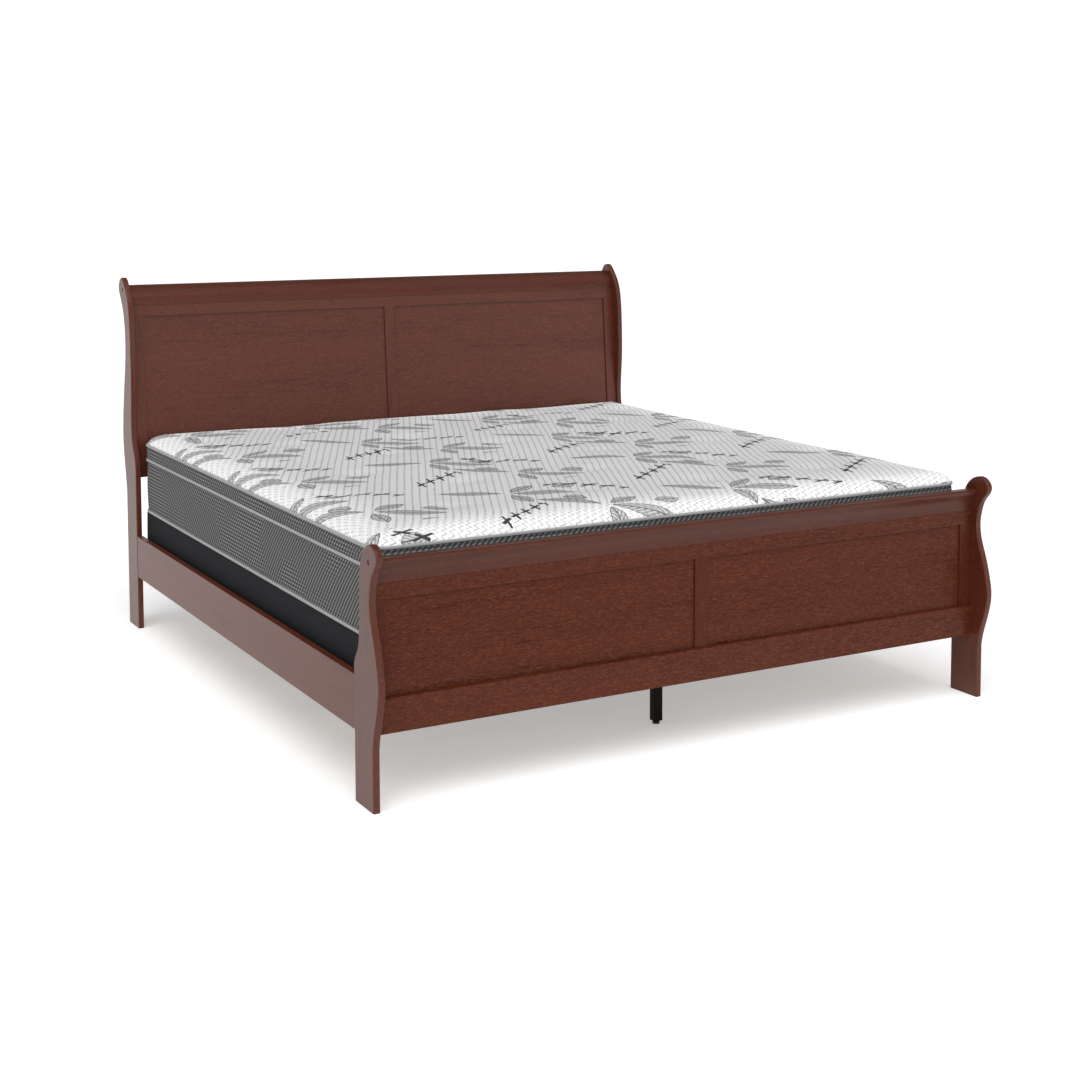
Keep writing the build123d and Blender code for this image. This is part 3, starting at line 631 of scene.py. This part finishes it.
class BED_OT_foundation(bpy.types.Operator):
    """Sew the foundation's charcoal cover"""
    bl_idname = "bed.foundation"
    bl_label = "Foundation"

    def execute(self, context):
        bed = context.scene.bed_bedding
        bottom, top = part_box("foundation_dust_cover")[0].z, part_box("foundation_cover")[1].z
        share = np.linspace(0, 1, 15)
        straight = top - bottom - COVER_HEM - COVER_ROLL
        wall = np.stack([COVER_SWELL * np.sin(np.pi * share), bottom + COVER_HEM + straight * share], 1)
        roll = np.radians(np.linspace(0, 90, 6))[1:]
        rim = np.stack([-COVER_ROLL * (1 - np.cos(roll)), wall[-1, 1] + COVER_ROLL * np.sin(roll)], 1)
        hem = np.array([[-2 * COVER_HEM, bottom], [-0.6 * COVER_HEM, bottom + 0.3 * COVER_HEM]])
        profile = np.concatenate([hem, wall, rim])
        outline = rounded_outline("foundation_cover", FOUNDATION_R)
        cover = swept_band("foundation_cover_sewn", outline, profile, True)
        cover.data.materials.append(woven("woven_charcoal_cover", bed.cover, 0.0022, 0.9, 0.3))
        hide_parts("foundation_cover", "foundation_dust_cover")
        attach(cover, "foundation")
        return {"FINISHED"}


class BED_OT_border(bpy.types.Operator):
    """Sew the mattress border, swelling between its tapes"""
    bl_idname = "bed.border"
    bl_label = "Mattress border"

    def execute(self, context):
        bed = context.scene.bed_bedding
        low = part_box("mattress_bottom_panel")[0].z
        seam = sum(v.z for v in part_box("mattress_tape_middle")) / 2
        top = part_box("mattress_border")[1].z
        main = np.linspace(0, 1, 17)
        gusset = np.linspace(0, 1, 9)[1:]
        swell = bed.bulge * np.sin(np.pi * np.concatenate([main, gusset])) ** FULLNESS
        height = np.concatenate([low + (seam - low) * main, seam + (top - seam) * gusset])
        profile = np.stack([swell, height], 1)
        outline = rounded_outline("mattress_border", CORNER_R)
        border = swept_band("mattress_border_sewn", outline, profile, True)
        border.data.materials.append(border_twill())
        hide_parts("mattress_border", "mattress_bottom_panel")
        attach(border, "mattress")
        return {"FINISHED"}


class BED_OT_tapes(bpy.types.Operator):
    """Bind the mattress seams with woven tape"""
    bl_idname = "bed.tapes"
    bl_label = "Binding tapes"

    def execute(self, context):
        tape = woven("woven_binding_tape", context.scene.bed_bedding.tape, 0.0016, 0.8, 0.2)
        outline = rounded_outline("mattress_border", CORNER_R)
        turn = np.radians(np.linspace(0, 360, 21)[:-1])
        section = [np.sign(wave) * np.abs(wave) ** TAPE_SQUARE for wave in (np.cos(turn), np.sin(turn))]
        for part in ("low", "middle", "top"):
            low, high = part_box(f"mattress_tape_{part}")
            out = TAPE_PROUD + TAPE_HALF * section[0]
            up = (low.z + high.z) / 2 + (high.z - low.z) / 2 * section[1]
            profile = np.stack([out, up], 1)
            band = swept_band(f"mattress_tape_{part}_sewn", outline, profile, False)
            band.data.materials.append(tape)
            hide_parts(f"mattress_tape_{part}")
            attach(band, "mattress")
        return {"FINISHED"}


class BED_OT_pillow_top(bpy.types.Operator):
    """Quilt the pillow top"""
    bl_idname = "bed.pillow_top"
    bl_label = "Pillow top"

    def execute(self, context):
        bed = context.scene.bed_bedding
        low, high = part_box("mattress_border")
        half_x, half_y = high.x, (high.y - low.y) / 2
        centre_y, base = (high.y + low.y) / 2, high.z
        nx, ny = 231, 243
        # Points crowd towards the rim, where the shoulder turns.
        crowd = math.pi / 2 * 0.96
        u = np.sin(np.linspace(-1, 1, nx) * crowd) / math.sin(crowd)
        v = np.sin(np.linspace(-1, 1, ny) * crowd) / math.sin(crowd)
        x, y = np.meshgrid(u * half_x, v * half_y, indexing="ij")
        # The square patch at each corner is pressed into a quarter disc, and stays a grid.
        r = CORNER_R
        a = np.clip((np.abs(x) - (half_x - r)) / r, 0, 1)
        b = np.clip((np.abs(y) - (half_y - r)) / r, 0, 1)
        corner = (a > 0) & (b > 0)
        ca = a * np.sqrt(1 - b ** 2 / 2)
        cb = b * np.sqrt(1 - a ** 2 / 2)
        x = np.where(corner, np.sign(x) * (half_x - r + r * ca), x)
        y = np.where(corner, np.sign(y) * (half_y - r + r * cb), y)
        inset = np.minimum(half_x - np.abs(x), half_y - np.abs(y))
        inset = np.where(corner, r - r * np.hypot(ca, cb), inset)
        inset = np.clip(inset, 0, None)
        wave = dimples(x, y) * np.clip(inset / CALM, 0, 1)
        z = base + SEAM_LIP + crown_height(inset, bed.crown - SEAM_LIP) + wave
        grid = np.stack([x, y + centre_y, z], 2).reshape(-1, 3)
        index = np.arange(nx * ny).reshape(nx, ny)
        quads = np.stack([index[:-1, :-1], index[1:, :-1], index[1:, 1:], index[:-1, 1:]], 2).reshape(-1, 4)
        loop = np.concatenate([index[:-1, 0], index[-1, :-1], index[:0:-1, -1], index[0, :0:-1]])
        n = len(loop)
        foot = grid[loop].copy()
        foot[:, 2] = base - SEAM_LAP
        points = np.concatenate([grid, foot, [[0, centre_y, base - SEAM_LAP]]])
        f = nx * ny + np.arange(n)
        g = nx * ny + (np.arange(n) + 1) % n
        wall = np.stack([f, g, np.roll(loop, -1), loop], 1)
        fan = np.stack([g, f, np.full(n, nx * ny + n)], 1)
        faces = quads.tolist() + wall.tolist() + fan.tolist()
        # The print is laid out by the distance walked over the surface from the middle lines.
        surface = grid.reshape(nx, ny, 3)
        uv = points[:, :2].copy()
        for axis, count in ((0, nx), (1, ny)):
            step = np.linalg.norm(np.diff(surface, axis=axis), axis=2)
            walked = np.insert(np.cumsum(step, axis=axis), 0, 0, axis=axis)
            walked -= np.take(walked, [count // 2], axis=axis)
            uv[: nx * ny, axis] = walked.ravel()
        top = make_object("mattress_pillow_top_quilted", points, faces, uv)
        # How near the rim is, from 0 in the field to 1 at the edge, for the knit.
        rim = np.concatenate([np.exp(-inset.ravel() / RIM_KNIT), np.ones(n + 1)])
        top.data.attributes.new("rim", "FLOAT", "POINT").data.foreach_set("value", rim.astype(np.float32))
        top.data.materials.append(quilted_knit())
        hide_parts("mattress_pillow_top")
        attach(top, "mattress")
        return {"FINISHED"}


class BED_OT_stage(bpy.types.Operator):
    """Floor, light and camera"""
    bl_idname = "bed.stage"
    bl_label = "Studio"

    def execute(self, context):
        stage = context.scene.bed_stage
        scene = context.scene
        corners = np.array([[-1, -1, 0], [1, -1, 0], [1, 1, 0], [-1, 1, 0]])
        points = FLOOR_HALF * corners
        floor = make_object("studio_floor", points, [(0, 1, 2, 3)], smooth=False)
        material, tree = new_material("white_studio_paper")
        grit = add(tree, "TexNoise", {"Vector": add(tree, "TexCoord").outputs["Object"], "Scale": 300})
        bump = add(tree, "Bump", {"Strength": 0.05, "Distance": 0.0005, "Height": grit.outputs[0]})
        surface(tree, {
            "Base Color": rgba(stage.floor), "Roughness": 0.9, "Specular IOR Level": 0.2,
            "Emission Color": (1, 1, 1, 1), "Emission Strength": stage.glow, "Normal": bump.outputs[0],
        })
        floor.data.materials.append(material)

        world = bpy.data.worlds.new("studio_light")
        world.use_nodes = True
        tree = world.node_tree
        tree.nodes.clear()
        # A white room, dimmer overhead, with the light from high up behind the headboard held back.
        direction = add(tree, "SeparateXYZ", [add(tree, "TexCoord").outputs["Generated"]])
        up, along = direction.outputs[Z], direction.outputs[Y]
        level = add(tree, "MapRange", [up, 0.12, 0.6, 1.05, 0.5]).outputs[0]
        high = add(tree, "MapRange", [up, 0.12, 0.25, 0.0, 1.0]).outputs[0]
        behind = add(tree, "MapRange", [along, 0.1, 0.5, 0.0, 0.7]).outputs[0]
        flag = add(tree, "Math", [high, behind], operation="MULTIPLY").outputs[0]
        kept = add(tree, "Math", [1.0, flag], operation="SUBTRACT").outputs[0]
        level = add(tree, "Math", [level, kept], operation="MULTIPLY").outputs[0]
        back = add(tree, "Background", {"Color": (1, 1, 1, 1), "Strength": level})
        add(tree, "OutputWorld", {"Surface": back.outputs[0]})
        scene.world = world

        light = bpy.data.lights.new("overhead_light", "SUN")
        light.energy = stage.overhead
        light.angle = math.radians(50)
        lamp = bpy.data.objects.new("overhead_light", light)
        lamp.rotation_euler = Euler([math.radians(26), math.radians(-16), 0])
        scene.collection.objects.link(lamp)

        camera = bpy.data.cameras.new("camera")
        camera.sensor_width = 36
        camera.lens = CAMERA_LENS
        camera.shift_x, camera.shift_y = CAMERA_SHIFT
        camera.clip_end = 200
        seat = bpy.data.objects.new("camera", camera)
        seat.location = (CAMERA_X, CAMERA_Y, stage.camera_height)
        seat.rotation_euler = Euler([math.pi / 2 - CAMERA_DOWN, 0, CAMERA_TURN])
        scene.collection.objects.link(seat)
        scene.camera = seat
        scene.view_settings.view_transform = "Standard"
        return {"FINISHED"}


class BED_PT_panel(bpy.types.Panel):
    """Pieces of the bed, in the order they are made"""
    bl_label = "Sleigh bed"
    bl_idname = "BED_PT_panel"
    bl_space_type = "VIEW_3D"
    bl_region_type = "UI"
    bl_category = "Sleigh bed"

    def draw(self, context):
        for piece in PIECES:
            self.layout.operator(piece.bl_idname)
        for group in (context.scene.bed_wood, context.scene.bed_bedding, context.scene.bed_stage):
            box = self.layout.box()
            for key in group.bl_rna.properties.keys():
                if key not in ("rna_type", "name"):
                    box.prop(group, key)


PIECES = (BED_OT_wood, BED_OT_support, BED_OT_foundation, BED_OT_border, BED_OT_tapes, BED_OT_pillow_top,
          BED_OT_stage)
SETTINGS = (("bed_wood", WoodSettings), ("bed_bedding", BeddingSettings), ("bed_stage", StageSettings))


def register():
    for _, group in SETTINGS:
        bpy.utils.register_class(group)
    for name, group in SETTINGS:
        setattr(bpy.types.Scene, name, bpy.props.PointerProperty(type=group))
    for piece in (*PIECES, BED_PT_panel):
        bpy.utils.register_class(piece)


def unregister():
    for piece in (BED_PT_panel, *reversed(PIECES)):
        bpy.utils.unregister_class(piece)
    for name, group in SETTINGS:
        delattr(bpy.types.Scene, name)
        bpy.utils.unregister_class(group)


def main():
    register()
    for piece in PIECES:
        area, name = piece.bl_idname.split(".")
        getattr(getattr(bpy.ops, area), name)()
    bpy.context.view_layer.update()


if __name__ == "__main__":
    main()
